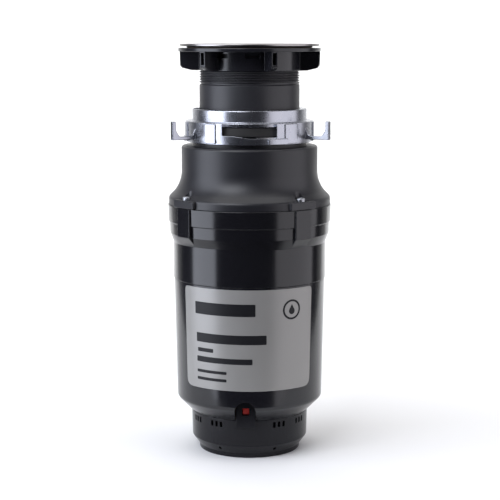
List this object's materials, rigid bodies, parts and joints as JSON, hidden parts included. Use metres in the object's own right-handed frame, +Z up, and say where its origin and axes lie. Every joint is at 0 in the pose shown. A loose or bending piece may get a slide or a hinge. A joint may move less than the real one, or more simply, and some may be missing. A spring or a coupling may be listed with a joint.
{
  "type": "kitchen garbage disposer",
  "caption": "Upright sink waste disposer: threaded sink flange with clamp nut, twist-on mount ring, hopper, banded upper case, tapered motor shell with label and stepped base.",
  "frame": {"origin": "centre of the base face, on the drive shaft axis", "axes": "+Z up along the drive shaft; -Y towards the label side; +Y towards the discharge outlet; +X to the right seen from the label side"},
  "size_m": [0.1352, 0.1466, 0.3374],
  "materials": {
    "gloss_black": "moulded, high gloss",
    "satin_black": "moulded, satin gloss",
    "nut_black": "moulded, semi-gloss",
    "sleeve_black": "moulded, fine matte",
    "rubber": "matte",
    "polished_diecast": "polished die-casting",
    "stainless": "brushed stainless",
    "bright_steel": "bright",
    "zinc_steel": "zinc plated",
    "dark_iron": "blackened",
    "copper": "enamelled copper",
    "bronze": "sintered bronze",
    "carbon": "pressed carbon",
    "phenolic": "moulded phenolic",
    "felt": "felted foam",
    "label_grey": "printed metallic film",
    "button_red": "moulded",
    "lead_black": "insulated lead",
    "lead_white": "insulated lead",
    "ground_green": "green finish",
    "fibre": "pressed fibre"
  },
  "bodies": {
    "housing": {"upper_case": "gloss_black", "motor_shell": "satin_black", "end_bell": "satin_black", "hopper": "satin_black", "flange_sleeve": "sleeve_black", "inlet_plug": "sleeve_black", "cushion_ring": "rubber", "rim_gasket": "rubber", "housing_gasket": "rubber", "shaft_seal": "rubber", "sink_flange": "stainless", "grind_ring": "stainless", "thrust_washer": "bright_steel", "through_bolts": "bright_steel", "bell_screws": "bright_steel", "brush_springs": "bright_steel", "retaining_ring": "bright_steel", "bottom_cover": "zinc_steel", "cover_screws": "zinc_steel", "housing_screws": "zinc_steel", "lower_bracket": "zinc_steel", "motor_can": "dark_iron", "magnets": "dark_iron", "upper_bearing": "bronze", "lower_bearing": "bronze", "brush_holders": "bronze", "brushes": "carbon", "brush_plate": "phenolic", "overload_protector": "phenolic", "rectifier": "phenolic", "sound_liner": "felt", "label": "label_grey", "live_lead": "lead_black", "neutral_lead": "lead_white", "ground_screw": "ground_green"},
    "rotor": {"drive_shaft": "bright_steel", "armature_core": "dark_iron", "armature_windings": "copper", "commutator": "copper", "water_slinger": "rubber", "turntable": "stainless", "turntable_washer": "bright_steel", "turntable_nut": "bright_steel", "impeller_pins": "stainless"},
    "left_impeller": {"impeller_left": "stainless"},
    "right_impeller": {"impeller_right": "stainless"},
    "twist_ring": {"mount_ring": "polished_diecast"},
    "clamp_washer": {"fibre_washer": "fibre"},
    "clamp_nut": {"support_nut": "nut_black"},
    "button": {"reset_button": "button_red"},
    "guard": {"splash_guard": "rubber"}
  },
  "joints": [
    {"name": "turntable_spin", "type": "hinge", "parent": "housing", "child": "rotor", "pos_m": [0, 0, 0.2], "axis": [0, 0, 1], "continuous": true},
    {"name": "left_impeller_swing", "type": "hinge", "parent": "rotor", "child": "left_impeller", "pos_m": [-0.0365, 0, 0.2], "axis": [0, 0, 1], "continuous": true},
    {"name": "right_impeller_swing", "type": "hinge", "parent": "rotor", "child": "right_impeller", "pos_m": [0.0365, 0, 0.2], "axis": [0, 0, 1], "continuous": true},
    {"name": "ring_turn", "type": "hinge", "parent": "housing", "child": "twist_ring", "pos_m": [0, 0, 0.2664], "axis": [0, 0, 1], "range_deg": [-45, 0]},
    {"name": "washer_slide", "type": "slide", "parent": "housing", "child": "clamp_washer", "axis": [0, 0, -1], "range_m": [0, 0.01]},
    {"name": "nut_turn", "type": "hinge", "parent": "clamp_washer", "child": "clamp_nut", "pos_m": [0, 0, 0.325], "axis": [0, 0, 1], "range_deg": [-1800, 0]},
    {"name": "button_press", "type": "slide", "parent": "housing", "child": "button", "axis": [-0.0611, -0.9981, 0], "range_m": [0, 0.003]},
    {"name": "guard_lift", "type": "slide", "parent": "housing", "child": "guard", "axis": [0, 0, 1], "range_m": [0, 0.03]}
  ],
  "couplings": [
    {"joint": "nut_turn", "follows": "washer_slide", "rad_per_m": -3141.6}
  ]
}
